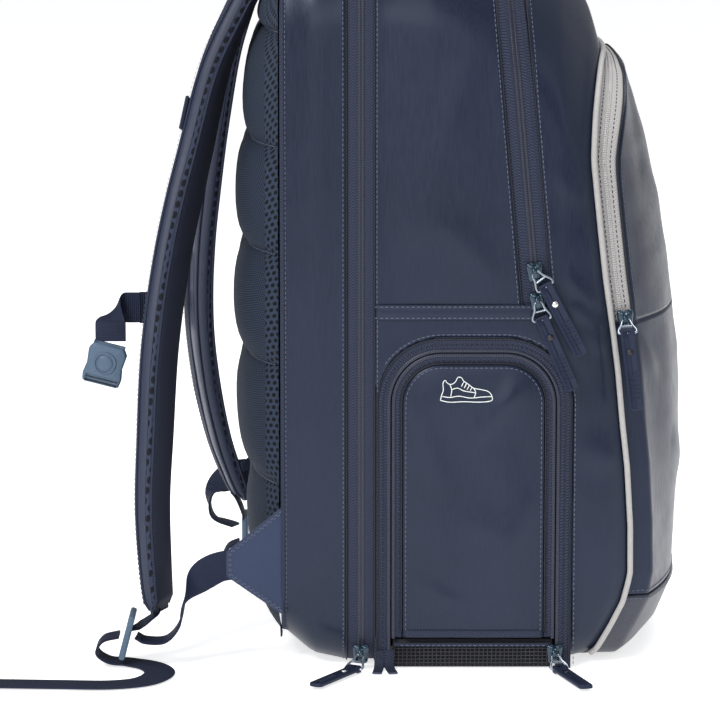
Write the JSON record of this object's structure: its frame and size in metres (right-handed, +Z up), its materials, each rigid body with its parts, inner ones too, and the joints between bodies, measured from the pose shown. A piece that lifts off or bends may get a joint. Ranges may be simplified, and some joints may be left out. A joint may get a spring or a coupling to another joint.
{
  "type": "racket backpack",
  "caption": "Upright racket backpack with a padded rear racket compartment, main compartment, side shoe door, front pocket, shoulder straps, haul handle and working zip pulls.",
  "frame": {"origin": "middle of the flat base, on the surface the bag stands on", "axes": "+X towards the bag's front, away from the wearer; +Z up; the side with the shoe door is at -Y"},
  "size_m": [0.4856, 0.4167, 0.5541],
  "materials": {
    "base": "grained coated base panel",
    "board": "stiffening sheet under the lining",
    "fabric": "satin coated woven fabric, navy",
    "foam": "open air mesh over foam",
    "grey_tape": "woven zip tape, pale grey",
    "lining": "plain woven lining",
    "metal": "dark lacquered metal",
    "piping": "smooth pale grey piping",
    "plastic": "slate blue moulded plastic",
    "pull": "soft matt rubber",
    "ring": "gunmetal",
    "tape": "woven herringbone zip tape, navy",
    "vent": "square-grid vent mesh",
    "webbing": "ribbed webbing",
    "wing": "dense twill"
  },
  "bodies": {
    "bag": {"main_shell": "fabric", "main_zip_tape_rear": "tape", "divider_panel": "lining", "compartment_floor": "board", "base_board": "board", "laptop_sleeve": "lining", "shoe_vent_mesh": "vent", "shoe_zip_tape_outer": "tape", "racket_zip_tape_front": "tape", "base_panel": "base", "pocket_lower": "fabric", "piping_near": "piping", "piping_far": "piping"},
    "racket_flap": {"racket_gusset": "fabric", "back_board": "lining", "racket_zip_tape_rear": "tape", "back_padding": "foam", "strap_wing_near": "wing", "strap_wing_far": "wing", "lower_webbing_near": "webbing", "lower_webbing_far": "webbing"},
    "main_flap": {"flap_shell": "fabric", "main_zip_tape_front": "tape", "pocket_zip_tape_rear": "grey_tape", "piping_arch": "piping"},
    "pocket_flap": {"pocket_upper": "fabric", "pocket_zip_tape_front": "grey_tape"},
    "door": {"shoe_door": "fabric", "shoe_zip_tape_inner": "tape"},
    "strap_near": {"shoulder_strap_near": "fabric", "strap_keeper_near": "webbing", "web_tail_near": "webbing"},
    "strap_far": {"shoulder_strap_far": "fabric", "strap_keeper_far": "webbing", "web_tail_far": "webbing"},
    "lock_near": {"ladder_lock_near": "plastic"},
    "lock_far": {"ladder_lock_far": "plastic"},
    "sternum_near": {"sternum_web_near": "webbing", "sternum_socket": "plastic"},
    "sternum_far": {"sternum_web_far": "webbing", "sternum_plug": "plastic"},
    "handle": {"haul_handle": "webbing"},
    "main_a_slider": {"main_a_slider": "metal"},
    "main_a_ring": {"main_a_ring": "ring"},
    "main_a_tab": {"main_a_tab": "pull"},
    "main_b_slider": {"main_b_slider": "metal"},
    "main_b_ring": {"main_b_ring": "ring"},
    "main_b_tab": {"main_b_tab": "pull"},
    "pocket_slider": {"pocket_slider": "metal"},
    "pocket_ring": {"pocket_ring": "ring"},
    "pocket_tab": {"pocket_tab": "pull"},
    "racket_slider": {"racket_slider": "metal"},
    "racket_ring": {"racket_ring": "ring"},
    "racket_tab": {"racket_tab": "pull"},
    "shoe_slider": {"shoe_slider": "metal"},
    "shoe_ring": {"shoe_ring": "ring"},
    "shoe_tab": {"shoe_tab": "pull"}
  },
  "joints": [
    {"name": "racket_flap_hinge", "type": "hinge", "parent": "bag", "child": "racket_flap", "pos_m": [-0.0444, 0, 0], "axis": [0, -1, 0], "range_deg": [0, 60]},
    {"name": "main_flap_hinge", "type": "hinge", "parent": "bag", "child": "main_flap", "pos_m": [0.166, 0, 0.225], "axis": [0, 1, 0], "range_deg": [0, 28]},
    {"name": "pocket_flap_hinge", "type": "hinge", "parent": "main_flap", "child": "pocket_flap", "pos_m": [0.1655, 0, 0.225], "axis": [0, 1, 0], "range_deg": [0, 25]},
    {"name": "shoe_door_hinge", "type": "hinge", "parent": "bag", "child": "door", "pos_m": [0.028, -0.1546, 0.02], "axis": [1, 0, 0], "range_deg": [0, 90]},
    {"name": "strap_near_hinge", "type": "hinge", "parent": "racket_flap", "child": "strap_near", "pos_m": [-0.1035, -0.05, 0.47], "axis": [0, 1, 0], "range_deg": [0, 15], "deforming": ["lower_webbing_near"]},
    {"name": "strap_far_hinge", "type": "hinge", "parent": "racket_flap", "child": "strap_far", "pos_m": [-0.1035, 0.05, 0.47], "axis": [0, 1, 0], "range_deg": [0, 15], "deforming": ["lower_webbing_far"]},
    {"name": "lock_near_tilt", "type": "hinge", "parent": "strap_near", "child": "lock_near", "pos_m": [-0.176, -0.129, 0.032], "axis": [0, 1, 0], "range_deg": [0, 20], "deforming": ["web_tail_near"]},
    {"name": "lock_far_tilt", "type": "hinge", "parent": "strap_far", "child": "lock_far", "pos_m": [-0.13, 0.116, 0.06], "axis": [0, 1, 0], "range_deg": [0, 20], "deforming": ["web_tail_far"]},
    {"name": "sternum_near_swing", "type": "hinge", "parent": "strap_near", "child": "sternum_near", "pos_m": [-0.189, -0.092, 0.227], "axis": [0, 0, 1], "range_deg": [-60, 5]},
    {"name": "sternum_far_swing", "type": "hinge", "parent": "strap_far", "child": "sternum_far", "pos_m": [-0.171, 0.08, 0.238], "axis": [0, 1, 0], "range_deg": [0, 80]},
    {"name": "handle_flip", "type": "hinge", "parent": "racket_flap", "child": "handle", "pos_m": [-0.1035, 0, 0.494], "axis": [0, -1, 0], "range_deg": [0, 80]},
    {"name": "main_a_slide", "type": "slide", "parent": "bag", "child": "main_a_slider", "axis": [-0.0916, 0, 0.9958], "range_m": [0, 0.12]},
    {"name": "main_a_ring_swing", "type": "hinge", "parent": "main_a_slider", "child": "main_a_ring", "pos_m": [0.06633, -0.1605, 0.2595], "axis": [-0.788, 0, -0.6157], "range_deg": [0, 100]},
    {"name": "main_a_tab_swing", "type": "hinge", "parent": "main_a_ring", "child": "main_a_tab", "pos_m": [0.07341, -0.1605, 0.25044], "axis": [-0.8829, 0, -0.4695], "range_deg": [0, 88]},
    {"name": "main_b_slide", "type": "slide", "parent": "bag", "child": "main_b_slider", "axis": [-0.0916, 0, 0.9958], "range_m": [0, 0.002]},
    {"name": "main_b_ring_swing", "type": "hinge", "parent": "main_b_slider", "child": "main_b_ring", "pos_m": [0.0684, -0.1605, 0.2405], "axis": [-0.9703, 0, -0.2419], "range_deg": [0, 100]},
    {"name": "main_b_tab_swing", "type": "hinge", "parent": "main_b_ring", "child": "main_b_tab", "pos_m": [0.07118, -0.1605, 0.22934], "axis": [-0.9135, 0, -0.4067], "range_deg": [0, 85]},
    {"name": "pocket_slide", "type": "slide", "parent": "main_flap", "child": "pocket_slider", "axis": [-0.1103, 0, 0.9939], "range_m": [0, 0.08]},
    {"name": "pocket_ring_swing", "type": "hinge", "parent": "pocket_slider", "child": "pocket_ring", "pos_m": [0.1255, -0.146, 0.227], "axis": [-0.9965, 0, -0.083], "range_deg": [0, 60]},
    {"name": "pocket_tab_swing", "type": "hinge", "parent": "pocket_ring", "child": "pocket_tab", "pos_m": [0.12607, -0.15519, 0.22011], "axis": [-0.9927, 0, -0.1209], "range_deg": [0, 88]},
    {"name": "racket_slide", "type": "slide", "parent": "bag", "child": "racket_slider", "axis": [0, 0, 1], "range_m": [0, 0.38]},
    {"name": "racket_ring_swing", "type": "hinge", "parent": "racket_slider", "child": "racket_ring", "pos_m": [-0.0444, -0.1605, 0.0099], "axis": [-0.866, 0.5, 0], "range_deg": [0, 60]},
    {"name": "racket_tab_swing", "type": "hinge", "parent": "racket_ring", "child": "racket_tab", "pos_m": [-0.049, -0.16847, 0.003], "axis": [-0.866, 0.5, 0], "range_deg": [0, 45]},
    {"name": "shoe_slide", "type": "slide", "parent": "bag", "child": "shoe_slider", "axis": [0, 0, 1], "range_m": [0, 0.15]},
    {"name": "shoe_ring_swing", "type": "hinge", "parent": "shoe_slider", "child": "shoe_ring", "pos_m": [0.081, -0.1605, 0.0099], "axis": [-0.9539, -0.3, 0], "range_deg": [0, 60]},
    {"name": "shoe_tab_swing", "type": "hinge", "parent": "shoe_ring", "child": "shoe_tab", "pos_m": [0.08376, -0.16928, 0.003], "axis": [-0.9539, -0.3, 0], "range_deg": [0, 45]}
  ]
}
